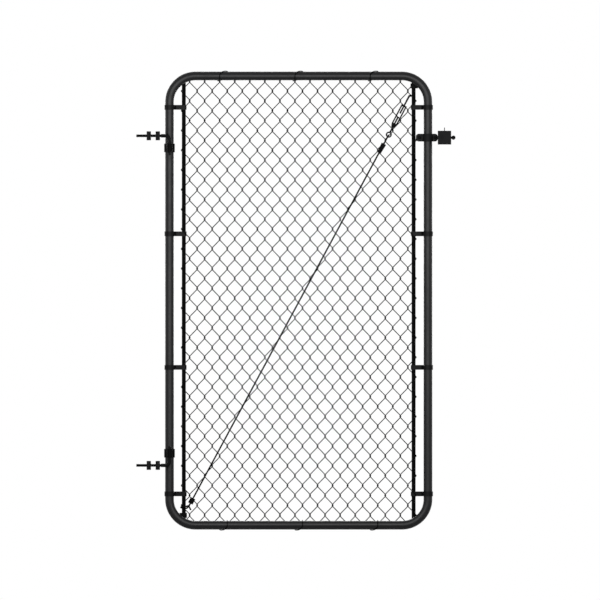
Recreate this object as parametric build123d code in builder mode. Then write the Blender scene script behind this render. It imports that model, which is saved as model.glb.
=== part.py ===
from build123d import *
from math import cos, pi, radians, sin, sqrt
import os

# Chain link walk gate, in millimetres. X runs across the gate from the hinge side to the latch side,
# Y from front to back and Z up. The origin is the middle of the washer face that bears on the hinge
# post at the lower hook bolt, so the hook bolts' axes lie in the plane Y = 0.

# Frame
gate_width = 1066.8
gate_height = 1828.8
tube_d = 34.925
tube_wall = 1.65
bend_radius = 104.0

# Hinge hooks
hook_inset = 256.4
post_face_to_pintle = 55.5
pintle_to_frame = 31.0
thread_d = 12.0
hook_shank_d = 14.0
pintle_d = 12.5
hook_bend_radius = 16.0
hook_bend_run = 20.0
pintle_length = 76.6
free_thread = 41.3
thread_beyond_nut = 4.0
hook_end_chamfer = 1.5
nut_across_corners = 36.0
nut_thickness = 12.0
washer_d = 36.0
washer_thickness = 5.4
washer_spacing = 18.6
nut_chamfer = 1.0
thread_clearance = 0.05
washer_clearance = 0.5

# Hinge clamps
clamp_height = 34.5
clamp_to_shank = 48.6
clamp_wall = 4.0
barrel_d = 22.0
barrel_web = 16.0
pintle_clearance = 0.1
clamp_ear_reach = 20.0
clamp_ear_thickness = 5.0
clamp_slit = 4.0
clamp_bolt_d = 7.9
clamp_bolt_from_tube = 11.0
clamp_chamfer = 2.0

# Small hardware
fit_gap = 0.1
hole_clearance = 0.2
head_height = 4.5
head_round = 2.7
head_ratio = 1.9
nut_ratio = 1.85
nut_height_ratio = 0.8
bolt_tail = 2.5
cut_through = 40.0

# Mesh and tension bars
wire_d = 3.76
mesh_depth = 9.0
nominal_column = 30.0
row_height = 78.76
top_row_below_frame = 38.2
knuckle = 12.0
mesh_panels = 4
bar_width = 15.9
bar_thickness = 4.76
bar_gap = 31.75
bar_end_inset = 32.0
bend_past_bar = 0.95

# Tension bands
band_width = 19.05
band_thickness = 2.6
band_end_inset = 142.7
band_middle_spacing = 533.3
band_flat_start = 26.0
band_nose_gap = 0.7

# Tie wires
tie_d = 3.7
tie_seat = 0.3
first_tie_column = 5
tie_columns_apart = 10
tie_front_lean = 13.0
tie_top_lean = 19.0
tie_cross_offset = 6.5
tie_end_rise = 5.2
tie_bend = 16.0
tie_back_bend = 12.0

# Truss
truss_from_mesh = 15.0
truss_rod_d = 7.5
truss_hook_inset = 97.0
truss_hook_from_bar = 17.2
truss_hook_bend = 6.0
eye_x_inset = 156.2
eye_z_inset = 251.8
eye_outer_d = 24.5
eye_inner_d = 13.0
cable_d = 6.6
cable_seat = 0.3
cable_pair_gap = 0.4
cable_foot_x = 82.9
cable_foot_z = 104.2
cable_neck = 9.0
cable_bar_drop = 11.2
cable_loop_drop = 8.3
cable_turn = 6.0
cable_bend = 15.0
loop_throat = 15.0
eye_seat = 0.55
eye_loop_share = 0.97
ferrule_start = 41.2
ferrule_length = 42.2
ferrule_top_width = 20.5
ferrule_foot_width = 14.5
ferrule_thickness = 16.5
tail_in_ferrule = 36.0
clip_width = 20.5
clip_length = 24.0
clip_wall = 1.2
clip_corner = 2.5
tail_neck = 12.0
tail_length = 17.5
tail_lean = 27.0

# Turnbuckle, along its axis from the eye
body_foot = 31.6
body_shoulder = 46.7
body_top = 132.5
window_foot = 51.0
window_top = 125.5
body_width = 23.6
body_foot_width = 12.5
window_width = 12.2
body_thickness = 10.5
eye_rod_end = 81.3
eye_rod_head_d = 10.0
eye_rod_head = 6.0
hook_rod_end = 95.5

# Corner clips on the tension bars at the two ends of the truss
corner_clip_height = 20.0
corner_clip_inner = 4.6
corner_clip_outer = 9.5
corner_clip_from_frame = 47.0

# Fork latch
latch_drop = 263.7
collar_height = 31.0
collar_wall = 4.0
inner_ear_reach = 48.0
outer_ear_reach = 39.5
inner_bolt_reach = 33.6
pivot_reach = 29.1
ear_corner = 11.5
latch_bolt_d = 6.35
lug_thickness = 8.0
lug_gap = 0.4
lug_radius = 6.6
cheek_start = 10.2
cheek_length = 53.6
cheek_height = 55.0
cheek_thickness = 5.0
fork_gap = 64.0
bridge_start = 21.0
bridge_rise = 5.0
knob_d = 17.0
knob_reach = 8.9
knob_neck = 8.8
lift_pin_d = 3.2
lift_pin_length = 12.8
edge_round = 1.0

# Places that follow from the sizes
tube_r = tube_d / 2
hinge_x = post_face_to_pintle
latch_x = hinge_x + gate_width - tube_d
centre_x = (hinge_x + latch_x) / 2
frame_y = pintle_to_frame
foot_z = -hook_inset
top_z = foot_z + gate_height
upper_hook_z = top_z - hook_inset
foot_rail_z = foot_z + tube_r
top_rail_z = top_z - tube_r
bend_reach = bend_radius + tube_r
mesh_y = frame_y + tube_r + mesh_depth / 2
bar_offset = tube_r + bar_gap + bar_width / 2
hinge_bar_x = hinge_x + bar_offset
latch_bar_x = latch_x - bar_offset
wire_side = wire_d * sqrt(pi) / 2

# Mesh grid: columns of crossings from bar to bar, and rows down from under the top rail
mesh_left = hinge_bar_x - bar_width / 2 + bend_past_bar
mesh_right = latch_bar_x + bar_width / 2 - bend_past_bar
column_count = round((mesh_right - mesh_left) / nominal_column)
column_width = (mesh_right - mesh_left) / column_count
mesh_top = top_z - top_row_below_frame
half_rows = int((mesh_top - foot_z - knuckle) / (row_height / 2))
mesh_foot = mesh_top - half_rows * row_height / 2

# Truss line
truss_y = mesh_y - truss_from_mesh
hook_point = Vector(latch_bar_x - truss_hook_from_bar, truss_y, top_z - truss_hook_inset)
eye_point = Vector(latch_x - eye_x_inset, truss_y, top_z - eye_z_inset)
rod_axis = (hook_point - eye_point).normalized()
cable_foot = Vector(hinge_x + cable_foot_x, truss_y, foot_z + cable_foot_z)
cable_axis = (cable_foot - eye_point).normalized()
cable_length = (cable_foot - eye_point).length
cable_pitch = cable_d + cable_pair_gap

os.makedirs("parts", exist_ok=True)


def save(part, label):
    """Label one finished piece and write it under the same name."""
    part.label = label
    export_step(part, f"parts/{label}.step")


def ring(outer_r, inner_r):
    """A round tube's section."""
    Circle(outer_r)
    Circle(inner_r, mode=Mode.SUBTRACT)


def straight_tube(start, direction, length):
    """One straight frame tube from a start point along a direction."""
    with BuildPart() as tube:
        with BuildSketch(Plane(origin=start, z_dir=direction)):
            ring(tube_r, tube_r - tube_wall)
        extrude(amount=length)
    return tube.part


def corner_bend(x_side, z_side):
    """A quarter bend of the frame tube, from the stile round to the rail."""
    x = centre_x + x_side * (gate_width / 2 - bend_reach)
    z = (foot_z + top_z) / 2 + z_side * (gate_height / 2 - bend_reach)
    stile_end = Plane(origin=(x + x_side * bend_radius, frame_y, z), z_dir=(0, 0, z_side))
    with BuildPart() as bend:
        with BuildSketch(stile_end):
            ring(tube_r, tube_r - tube_wall)
        revolve(axis=Axis((x, frame_y, z), (0, -x_side * z_side, 0)), revolution_arc=90)
    return bend.part


def frame():
    """Two stiles, two rails and four bends."""
    stile = gate_height - 2 * bend_reach
    rail = gate_width - 2 * bend_reach
    stile_foot = foot_z + bend_reach
    rail_start = hinge_x - tube_r + bend_reach
    save(straight_tube((hinge_x, frame_y, stile_foot), (0, 0, 1), stile), "hinge_stile")
    save(straight_tube((latch_x, frame_y, stile_foot), (0, 0, 1), stile), "latch_stile")
    save(straight_tube((rail_start, frame_y, foot_rail_z), (1, 0, 0), rail), "bottom_rail")
    save(straight_tube((rail_start, frame_y, top_rail_z), (1, 0, 0), rail), "top_rail")
    save(corner_bend(-1, -1), "hinge_bottom_corner")
    save(corner_bend(1, -1), "latch_bottom_corner")
    save(corner_bend(-1, 1), "hinge_top_corner")
    save(corner_bend(1, 1), "latch_top_corner")


def hook_bolt(z, turn):
    """J-shaped hinge bolt: threaded shank, bend, and a pintle that points down (-1) or up (1)."""
    thread_start = -washer_spacing - washer_thickness - nut_thickness - free_thread
    thread_end = washer_thickness + nut_thickness + thread_beyond_nut
    pintle_start = z + turn * hook_bend_run
    with BuildPart() as bolt:
        with BuildSketch(Plane(origin=(thread_start, 0, z), z_dir=(1, 0, 0))):
            Circle(thread_d / 2)
        extrude(amount=thread_end - thread_start)
        chamfer(bolt.edges().group_by(Axis.X)[0], length=hook_end_chamfer)
        with BuildLine() as route:
            FilletPolyline(
                (thread_end, 0, z),
                (hinge_x, 0, z),
                (hinge_x, 0, pintle_start),
                radius=hook_bend_radius,
            )
        with BuildSketch(Plane(origin=(thread_end, 0, z), z_dir=(1, 0, 0))):
            Circle(hook_shank_d / 2)
        sweep(path=route.line)
        with BuildSketch(Plane(origin=(hinge_x, 0, pintle_start), z_dir=(0, 0, turn))):
            Circle(pintle_d / 2)
        extrude(amount=pintle_length - hook_bend_run)
        tip = bolt.edges().sort_by(Axis.Z)[-1 if turn > 0 else 0]
        chamfer(tip, length=hook_end_chamfer)
    return bolt.part


def post_nut(x, z):
    """Hexagonal nut on the hook bolt's thread, from x towards the gate."""
    with BuildPart() as nut:
        with BuildSketch(Plane(origin=(x, 0, z), x_dir=(0, 0, 1), z_dir=(1, 0, 0))):
            RegularPolygon(nut_across_corners / 2, 6)
            Circle(thread_d / 2 + thread_clearance, mode=Mode.SUBTRACT)
        extrude(amount=nut_thickness)
        chamfer(nut.edges().filter_by(GeomType.LINE).filter_by(Axis.X, reverse=True), length=nut_chamfer)
    return nut.part


def post_washer(x, z):
    """Thick washer whose outer face bears on the post."""
    with BuildPart() as washer:
        with BuildSketch(Plane(origin=(x, 0, z), z_dir=(1, 0, 0))):
            ring(washer_d / 2, thread_d / 2 + washer_clearance)
        extrude(amount=washer_thickness)
    return washer.part


def pair(first, second):
    """Two like pieces in one node."""
    return Compound(children=[first, second])


def hooks():
    """Both hook bolts with the nuts and washers that clamp them to the post."""
    outer_washer_x = -washer_spacing - washer_thickness
    outer_nut_x = outer_washer_x - nut_thickness
    for name, z, turn in (("lower", 0.0, 1), ("upper", upper_hook_z, -1)):
        save(hook_bolt(z, turn), f"{name}_hook_bolt")
        save(pair(post_nut(outer_nut_x, z), post_nut(washer_thickness, z)), f"{name}_hook_nuts")
        save(pair(post_washer(outer_washer_x, z), post_washer(0, z)), f"{name}_hook_washers")


def hinge_clamp(z):
    """Clamp round the hinge stile, with the pintle's barrel in front and bolted ears behind."""
    outer_r = tube_r + clamp_wall
    ear_end = frame_y + outer_r + clamp_ear_reach
    ear_width = clamp_slit + 2 * clamp_ear_thickness
    with BuildPart() as clamp:
        with BuildSketch(Plane.XY.offset(z - clamp_height / 2)):
            with Locations((hinge_x, frame_y)):
                Circle(outer_r)
            with Locations((hinge_x, 0)):
                Circle(barrel_d / 2)
            with Locations((hinge_x, frame_y / 2)):
                Rectangle(barrel_web, frame_y)
            with Locations((hinge_x, (frame_y + ear_end) / 2)):
                Rectangle(ear_width, ear_end - frame_y)
                Rectangle(clamp_slit, ear_end - frame_y, mode=Mode.SUBTRACT)
            with Locations((hinge_x, frame_y)):
                Circle(tube_r + fit_gap, mode=Mode.SUBTRACT)
            with Locations((hinge_x, 0)):
                Circle(pintle_d / 2 + pintle_clearance, mode=Mode.SUBTRACT)
        extrude(amount=clamp_height)
        ear_edges = clamp.edges().filter_by(Axis.X).group_by(Axis.Y)[-1]
        chamfer(ear_edges, length=clamp_chamfer)
        bolt_y = frame_y + tube_r + clamp_bolt_from_tube
        with Locations(Plane(origin=(hinge_x, bolt_y, z), z_dir=(1, 0, 0))):
            Cylinder(clamp_bolt_d / 2 + hole_clearance, cut_through, mode=Mode.SUBTRACT)
    return clamp.part


def bolt(seat, direction, diameter, grip):
    """Round-headed bolt whose head bears at the seat; the shank runs along the direction."""
    nut_height = diameter * nut_height_ratio
    with BuildPart() as screw:
        with BuildSketch(Plane(origin=seat, z_dir=direction)):
            Circle(diameter / 2)
        extrude(amount=grip + nut_height + bolt_tail)
        with BuildSketch(Plane(origin=seat, z_dir=direction)):
            Circle(diameter * head_ratio / 2)
        extrude(amount=-head_height)
        rim = screw.edges().filter_by(GeomType.CIRCLE).sort_by(Axis((0, 0, 0), direction))[0]
        fillet(rim, radius=head_round)
    return screw.part


def nut(seat, direction, diameter):
    """Hexagonal nut that bears at the seat."""
    with BuildPart() as hexagon:
        with BuildSketch(Plane(origin=seat, z_dir=direction)):
            RegularPolygon(diameter * nut_ratio / 2, 6)
            Circle(diameter / 2 + thread_clearance, mode=Mode.SUBTRACT)
        extrude(amount=diameter * nut_height_ratio)
    return hexagon.part


def clamps():
    """The two hinge clamps with their bolts and nuts."""
    grip = clamp_slit + 2 * clamp_ear_thickness
    bolt_y = frame_y + tube_r + clamp_bolt_from_tube
    for name, z in (("lower", clamp_to_shank), ("upper", upper_hook_z - clamp_to_shank)):
        head = Vector(hinge_x - grip / 2, bolt_y, z)
        save(hinge_clamp(z), f"{name}_hinge_clamp")
        save(bolt(head, (1, 0, 0), clamp_bolt_d, grip), f"{name}_clamp_bolt")
        save(nut(head + Vector(grip, 0, 0), (1, 0, 0), clamp_bolt_d), f"{name}_clamp_nut")


def tension_bar(x):
    """Flat bar woven through the end of the mesh."""
    length = gate_height - 2 * bar_end_inset
    with BuildPart() as bar:
        with BuildSketch(Plane.XY.offset(foot_z + bar_end_inset)):
            with Locations((x, mesh_y)):
                Rectangle(bar_width, bar_thickness)
        extrude(amount=length)
    return bar.part


def tension_band(x, side, z):
    """Strap round the stile, with a rounded nose round the tension bar; the side is 1 for a bar at +X."""
    outer_r = tube_r + fit_gap + band_thickness
    half_slot = mesh_depth / 2 + wire_d / 2 + band_thickness
    front = mesh_y - half_slot
    back = mesh_y + half_slot
    flat_start = x + side * band_flat_start
    end = x + side * (bar_offset + bar_width / 2 + band_nose_gap + band_thickness)
    neck = [
        (x, frame_y),
        (x + side * outer_r, frame_y),
        (flat_start, front),
        (end, front),
        (end, back),
        (flat_start, back),
        (x, frame_y + outer_r),
    ]
    with BuildPart() as band:
        with BuildSketch(Plane.XY.offset(z - band_width / 2)) as section:
            with Locations((x, frame_y)):
                Circle(outer_r)
            Polygon(*neck[::side], align=None)
            bar_end = section.vertices().group_by(Axis.X)[-1 if side > 0 else 0]
            fillet(bar_end, radius=half_slot - fit_gap)
            offset(amount=-band_thickness, kind=Kind.INTERSECTION, mode=Mode.SUBTRACT)
        extrude(amount=band_width)
    return band.part


def band_heights():
    """Heights of the four bands on each stile."""
    middle = (foot_z + top_z) / 2
    return [
        foot_z + band_end_inset,
        middle - band_middle_spacing / 2,
        middle + band_middle_spacing / 2,
        top_z - band_end_inset,
    ]


def bars_and_bands():
    """Both tension bars and the bands that hold them to the stiles."""
    save(tension_bar(hinge_bar_x), "hinge_tension_bar")
    save(tension_bar(latch_bar_x), "latch_tension_bar")
    hinge_bands = [tension_band(hinge_x, 1, z) for z in band_heights()]
    latch_bands = [tension_band(latch_x, -1, z) for z in band_heights()]
    save(Compound(children=hinge_bands), "hinge_side_bands")
    save(Compound(children=latch_bands), "latch_side_bands")


def mesh_panel(low, high, notches):
    """A level strip of the mesh: a flat lattice with a six-sided hole in each diamond.

    Crumbs of wire that a notch cuts off from the lattice are left out.
    """
    left = hinge_bar_x + bar_width / 2
    right = latch_bar_x - bar_width / 2
    reach = column_width - wire_side
    tip = (column_width + row_height / 2 - wire_side * sqrt(2)) / 2
    side = tip - reach
    hole = [(0, tip), (-reach, side), (-reach, -side), (0, -tip), (reach, -side), (reach, side)]
    centres = []
    for column in range(1, column_count):
        first = mesh_top if column % 2 == 0 else mesh_top + row_height / 2
        for row in range(half_rows // 2 + 2):
            z = first - row * row_height
            if low - tip < z < high + tip:
                centres.append((mesh_left + column * column_width, z))
    back_to_front = Plane(origin=(0, mesh_y + wire_side / 2, 0), x_dir=(1, 0, 0), z_dir=(0, -1, 0))
    with BuildPart() as panel:
        with BuildSketch(back_to_front) as lattice:
            with Locations(((left + right) / 2, (low + high) / 2)):
                Rectangle(right - left, high - low)
            with Locations(*centres):
                Polygon(*hole, align=None, mode=Mode.SUBTRACT)
            for x, z, width, height in notches:
                if low - height < z < high + height:
                    with Locations((x, z)):
                        Rectangle(width, height, mode=Mode.SUBTRACT)
        whole = lattice.sketch.faces().sort_by(SortBy.AREA)[-1]
        extrude(whole, amount=wire_side)
    return panel.part


def mesh():
    """The mesh in level strips, notched where bands and clips close round the tension bars."""
    band_notch = 2 * (fit_gap + band_nose_gap + band_thickness + hole_clearance)
    clip_notch = 2 * (corner_clip_inner + hole_clearance)
    hinge_edge = hinge_bar_x + bar_width / 2
    latch_edge = latch_bar_x - bar_width / 2
    notches = []
    for z in band_heights():
        notches.append((hinge_edge, z, band_notch, band_width + 2 * hole_clearance))
        notches.append((latch_edge, z, band_notch, band_width + 2 * hole_clearance))
    clip_height = corner_clip_height + 2 * hole_clearance
    clip_offset = corner_clip_from_frame + corner_clip_height / 2
    notches.append((hinge_edge, foot_z + clip_offset, clip_notch, clip_height))
    notches.append((latch_edge, top_z - clip_offset, clip_notch, clip_height))
    foot = mesh_foot - knuckle
    step = (mesh_top + knuckle - foot) / mesh_panels
    for number in range(mesh_panels):
        low = foot + number * step
        save(mesh_panel(low, low + step, notches), f"mesh_strip_{number + 1}")


def round_wire(points, radii, diameter):
    """A round wire swept along straight runs and tangent arcs."""
    with BuildPart() as wire:
        with BuildLine() as route:
            FilletPolyline(*points, radius=radii)
        path = route.wire()
        with BuildSketch(Plane(origin=path @ 0, z_dir=path % 0)):
            Circle(diameter / 2)
        sweep(path=path)
    return wire.part


def tie_wire(x, rail_z, turn):
    """One tie wire round a rail and the mesh behind it; turn is 1 at the top rail, -1 at the bottom."""
    seat = tube_r + tie_d / 2 + tie_seat
    back = mesh_y - frame_y + wire_side / 2 + tie_d / 2 + tie_seat
    front_foot = -tie_d / 2
    front_top = front_foot + tie_front_lean
    corners = [
        (-tie_cross_offset, back, -seat),
        (front_foot, -seat, -seat),
        (front_top, -seat, seat),
        (front_top + tie_top_lean, seat, seat),
        (tie_cross_offset, back, -tie_d / 2),
        (-tie_cross_offset, back, tie_end_rise - seat),
    ]
    points = [(x + turn * dx, frame_y + dy, rail_z + turn * dz) for dx, dy, dz in corners]
    return round_wire(points, [tie_bend, tie_bend, tie_back_bend, tie_bend], tie_d)


def ties():
    """Tie wires at every tenth column of the mesh along both rails."""
    top = []
    bottom = []
    for column in range(first_tie_column, column_count, tie_columns_apart):
        x = mesh_left + column * column_width
        top.append(tie_wire(x, top_rail_z, 1))
        bottom.append(tie_wire(x + column_width * (half_rows % 2), foot_rail_z, -1))
    save(Compound(children=top), "top_tie_wires")
    save(Compound(children=bottom), "bottom_tie_wires")


def along_cable(distance, depth=0.0):
    """A point on the cable's line, from the eye, with a shift towards the back."""
    return eye_point + cable_axis * distance + Vector(0, depth, 0)


def cable_route():
    """Corner points and radii of the truss cable, from its upper end to its lower one."""
    strand = cable_pitch / 2
    rim_r = (eye_outer_d - eye_inner_d) / 4
    rim = (eye_outer_d + eye_inner_d) / 4
    loop = rim_r + cable_d / 2 + eye_seat
    seat = cable_d / 2 + cable_seat
    front = mesh_y - mesh_depth / 2 - wire_d / 2 - seat
    back = mesh_y + mesh_depth / 2 + wire_d / 2 + seat
    outer = hinge_bar_x - bar_width / 2 - seat
    inner = hinge_bar_x + bar_width / 2 + seat
    bar_z = cable_foot.Z - cable_bar_drop
    points = [
        along_cable(ferrule_start + tail_in_ferrule, strand),
        along_cable(ferrule_start + cable_d / 2, strand),
        along_cable(ferrule_start - loop_throat, loop),
        along_cable(rim - loop, loop),
        along_cable(rim - loop, -loop),
        along_cable(ferrule_start - loop_throat, -loop),
        along_cable(ferrule_start + cable_d / 2, -strand),
        along_cable(cable_length + cable_neck, -strand),
        Vector(inner, front, bar_z),
        Vector(outer, front, bar_z - cable_loop_drop / 3),
        Vector(outer, back, bar_z - cable_loop_drop * 2 / 3),
        Vector(inner, back, bar_z - cable_loop_drop),
        along_cable(cable_length + cable_neck, strand),
        along_cable(cable_length - clip_length / 2, strand),
    ]
    loop_corner = loop * eye_loop_share
    radii = [cable_bend, cable_bend, loop_corner, loop_corner, cable_bend, cable_bend]
    radii += [cable_turn] * 6
    return points, radii


def cable_tail(diameter):
    """The cable's spare end: down through the front of the lower clip, then bent outwards."""
    depth = -cable_pitch * 3 / 2
    neck = along_cable(cable_length + tail_neck, depth)
    lean = radians(tail_lean)
    points = [
        along_cable(cable_length - clip_length / 2, depth),
        neck,
        neck + Vector(sin(lean), 0, -cos(lean)) * tail_length,
    ]
    return round_wire(points, cable_turn, diameter)


def truss_cable():
    """The cable from the eye to the hinge-side bar, and its spare end below the clip."""
    points, radii = cable_route()
    return pair(round_wire(points, radii, cable_d), cable_tail(cable_d))


def cable_bore():
    """The cable's own shape with clearance, for cutting the pieces that grip it."""
    points, radii = cable_route()
    return round_wire(points, radii, cable_d + 2 * fit_gap)


def ferrule(bore):
    """Tapered sleeve that grips the cable's upper loop."""
    top = Plane(origin=along_cable(ferrule_start), x_dir=(0, 1, 0), z_dir=cable_axis)
    with BuildPart() as sleeve:
        with BuildSketch(top) as upper:
            Rectangle(ferrule_thickness, ferrule_top_width)
            fillet(upper.vertices(), radius=clip_corner)
        with BuildSketch(top.offset(ferrule_length)) as lower:
            Rectangle(ferrule_thickness, ferrule_foot_width)
            fillet(lower.vertices(), radius=clip_corner)
        loft()
        add(bore, mode=Mode.SUBTRACT)
    return sleeve.part


def lower_clip(bore):
    """Block that grips three runs of the cable in a row, front to back: tail, main run and loop end."""
    middle = along_cable(cable_length - clip_length, -cable_pitch / 2)
    start = Plane(origin=middle, x_dir=(0, 1, 0), z_dir=cable_axis)
    clip_thickness = 2 * (cable_pitch + cable_d / 2 + clip_wall)
    with BuildPart() as clip:
        with BuildSketch(start) as section:
            Rectangle(clip_thickness, clip_width)
            fillet(section.vertices(), radius=clip_corner)
        extrude(amount=clip_length)
        add(bore, mode=Mode.SUBTRACT)
        add(cable_tail(cable_d + 2 * fit_gap), mode=Mode.SUBTRACT)
    return clip.part


def eye_rod():
    """Threaded eye at the turnbuckle's lower end."""
    rim_r = (eye_outer_d - eye_inner_d) / 4
    rim = (eye_outer_d + eye_inner_d) / 4
    with BuildPart() as eye:
        with Locations(Plane(origin=eye_point, z_dir=(0, 1, 0))):
            Torus(rim, rim_r)
        with BuildSketch(Plane(origin=eye_point + rod_axis * rim, z_dir=rod_axis)):
            Circle(truss_rod_d / 2)
        extrude(amount=eye_rod_end - rim)
        head = eye_point + rod_axis * (eye_rod_end - eye_rod_head)
        with BuildSketch(Plane(origin=head, z_dir=rod_axis)):
            Circle(eye_rod_head_d / 2)
        extrude(amount=eye_rod_head)
    return eye.part


def turnbuckle_body():
    """Open body with two side bars, tapering to the eye rod's boss."""
    face = Plane(origin=eye_point - Vector(0, body_thickness / 2, 0), x_dir=rod_across(), z_dir=(0, 1, 0))
    foot_half = body_foot_width / 2
    half = body_width / 2
    outline = [
        (-foot_half, body_foot),
        (foot_half, body_foot),
        (half, body_shoulder),
        (half, body_top),
        (-half, body_top),
        (-half, body_shoulder),
    ]
    with BuildPart() as body:
        with BuildSketch(face):
            Polygon(*[(x, -s) for x, s in outline], align=None)
            with Locations((0, -(window_foot + window_top) / 2)):
                Rectangle(window_width, window_top - window_foot, mode=Mode.SUBTRACT)
        extrude(amount=body_thickness)
        with BuildSketch(Plane(origin=eye_point, z_dir=rod_axis)):
            Circle(truss_rod_d / 2 + fit_gap)
        extrude(amount=body_top + cut_through, mode=Mode.SUBTRACT)
    return body.part


def rod_across():
    """In the gate's plane, square to the turnbuckle's axis."""
    return Vector(rod_axis.Z, 0, -rod_axis.X)


def hook_rod():
    """Threaded rod from the turnbuckle that hooks behind the latch-side tension bar."""
    behind = mesh_y + bar_thickness / 2 + truss_rod_d / 2 + tie_seat
    end_x = latch_bar_x + bar_width / 2
    points = [
        eye_point + rod_axis * hook_rod_end,
        hook_point,
        Vector(hook_point.X, behind, hook_point.Z),
        Vector(end_x, behind, hook_point.Z),
    ]
    return round_wire(points, truss_hook_bend, truss_rod_d)


def corner_clip(bar_x, side, low):
    """Clip round a tension bar at a truss end, deeper towards the frame; side is 1 at the latch."""
    inner = bar_x - side * (bar_width / 2 + corner_clip_inner)
    outer = bar_x + side * (bar_width / 2 + corner_clip_outer)
    thickness = mesh_depth - 2 * tie_seat
    with BuildPart() as clip:
        with BuildSketch(Plane.XY.offset(low)) as section:
            with Locations(((inner + outer) / 2, mesh_y)):
                Rectangle(abs(outer - inner), thickness)
            fillet(section.vertices(), radius=edge_round)
            with Locations((bar_x, mesh_y)):
                Rectangle(bar_width + 2 * fit_gap, bar_thickness + 2 * fit_gap, mode=Mode.SUBTRACT)
        extrude(amount=corner_clip_height)
    return clip.part


def truss():
    """The diagonal truss: cable, ferrules, turnbuckle, and the clips on the bars."""
    bore = cable_bore()
    clip_foot = foot_z + corner_clip_from_frame
    clip_top = top_z - corner_clip_from_frame - corner_clip_height
    save(truss_cable(), "truss_cable")
    save(ferrule(bore), "upper_ferrule")
    save(lower_clip(bore), "lower_cable_clip")
    save(eye_rod(), "turnbuckle_eye")
    save(turnbuckle_body(), "turnbuckle_body")
    save(hook_rod(), "turnbuckle_hook")
    save(corner_clip(hinge_bar_x, -1, clip_foot), "bottom_corner_clip")
    save(corner_clip(latch_bar_x, 1, clip_top), "top_corner_clip")


def collar_half(side, z):
    """Front (-1) or back (1) half of the latch collar, with an ear at each end."""
    near = (lug_thickness / 2 + lug_gap) * side
    far = near + collar_wall * side
    ear_length = inner_ear_reach + outer_ear_reach
    ear_x = latch_x + (outer_ear_reach - inner_ear_reach) / 2
    cut = 2 * tube_d
    with BuildPart() as half:
        with BuildSketch(Plane.XY.offset(z - collar_height / 2)):
            with Locations((latch_x, frame_y)):
                Circle(tube_r + collar_wall)
            with Locations((ear_x, frame_y + (near + far) / 2)):
                Rectangle(ear_length, collar_wall)
            with Locations((latch_x, frame_y)):
                Circle(tube_r + fit_gap, mode=Mode.SUBTRACT)
            with Locations((ear_x, frame_y + near - side * cut / 2)):
                Rectangle(ear_length + cut_through, cut, mode=Mode.SUBTRACT)
        extrude(amount=collar_height)
        upright = half.edges().filter_by(Axis.Y).group_by(Axis.X)
        fillet(upright[0] + upright[-1], radius=ear_corner)
        for reach in (-inner_bolt_reach, pivot_reach):
            with Locations(Plane(origin=(latch_x + reach, frame_y, z), z_dir=(0, 1, 0))):
                Cylinder(latch_bolt_d / 2 + fit_gap, cut_through, mode=Mode.SUBTRACT)
    return half.part


def fork(z):
    """Lug on the pivot bolt, bridge, and the two cheeks that straddle the latch post."""
    pivot_x = latch_x + pivot_reach
    cheek_x = pivot_x + cheek_start + cheek_length / 2
    bridge_low = z - cheek_height / 2
    bridge_high = z + bridge_rise
    bridge_middle = (pivot_x + bridge_start + cheek_thickness / 2, frame_y, (bridge_low + bridge_high) / 2)
    front_of_lug = Plane(origin=(0, frame_y - lug_thickness / 2, 0), x_dir=(1, 0, 0), z_dir=(0, 1, 0))
    with BuildPart() as casting:
        with BuildSketch(front_of_lug):
            with Locations((pivot_x, -z)):
                Circle(lug_radius)
            with Locations((pivot_x + bridge_start / 2, -z)):
                Rectangle(bridge_start, 2 * lug_radius)
        extrude(amount=lug_thickness)
        with Locations(bridge_middle):
            Box(cheek_thickness, fork_gap, bridge_high - bridge_low)
        for side in (-1, 1):
            with Locations((cheek_x, frame_y + side * (fork_gap + cheek_thickness) / 2, z)):
                Box(cheek_length, cheek_thickness, cheek_height)
        with Locations(Plane(origin=(pivot_x, frame_y, z), z_dir=(0, 1, 0))):
            Cylinder(latch_bolt_d / 2 + fit_gap, lug_thickness + fit_gap, mode=Mode.SUBTRACT)
    return casting.part


def fork_knob(side, z):
    """Round knob on the free end of one cheek, set outwards so that the post has its room."""
    end_x = latch_x + pivot_reach + cheek_start + cheek_length
    cheek_y = frame_y + side * (fork_gap + cheek_thickness) / 2
    knob_y = frame_y + side * (fork_gap + knob_d) / 2
    with BuildPart() as knob:
        with Locations((end_x + knob_reach / 2, cheek_y, z)):
            Box(knob_reach, cheek_thickness, knob_neck)
        with Locations((end_x + knob_reach, knob_y, z)):
            Sphere(knob_d / 2)
    return knob.part


def lift_pin(z):
    """Thin upright pin on top of the front cheek."""
    x = latch_x + pivot_reach + cheek_start + cheek_length / 2
    y = frame_y - (fork_gap + cheek_thickness) / 2
    with BuildPart() as pin:
        with BuildSketch(Plane.XY.offset(z + cheek_height / 2)):
            with Locations((x, y)):
                Circle(lift_pin_d / 2)
        extrude(amount=lift_pin_length)
    return pin.part


def latch():
    """Collar on the latch stile and the fork that swings up on its outer bolt."""
    z = top_z - latch_drop
    grip = lug_thickness + 2 * lug_gap + 2 * collar_wall
    head_y = frame_y - grip / 2
    bolts = []
    nuts = []
    for reach in (-inner_bolt_reach, pivot_reach):
        bolts.append(bolt(Vector(latch_x + reach, head_y, z), (0, 1, 0), latch_bolt_d, grip))
        nuts.append(nut(Vector(latch_x + reach, head_y + grip, z), (0, 1, 0), latch_bolt_d))
    save(collar_half(-1, z), "front_latch_collar")
    save(collar_half(1, z), "back_latch_collar")
    save(pair(*bolts), "latch_collar_bolts")
    save(pair(*nuts), "latch_collar_nuts")
    save(fork(z), "latch_fork")
    save(pair(fork_knob(-1, z), fork_knob(1, z)), "latch_fork_knobs")
    save(lift_pin(z), "latch_lift_pin")


frame()
hooks()
clamps()
bars_and_bands()
mesh()
ties()
truss()
latch()
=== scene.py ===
from math import acos, atan2, ceil, cos, hypot, pi, radians, sin, sqrt, tau

import bmesh
import bpy
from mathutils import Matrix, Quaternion, Vector


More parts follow.
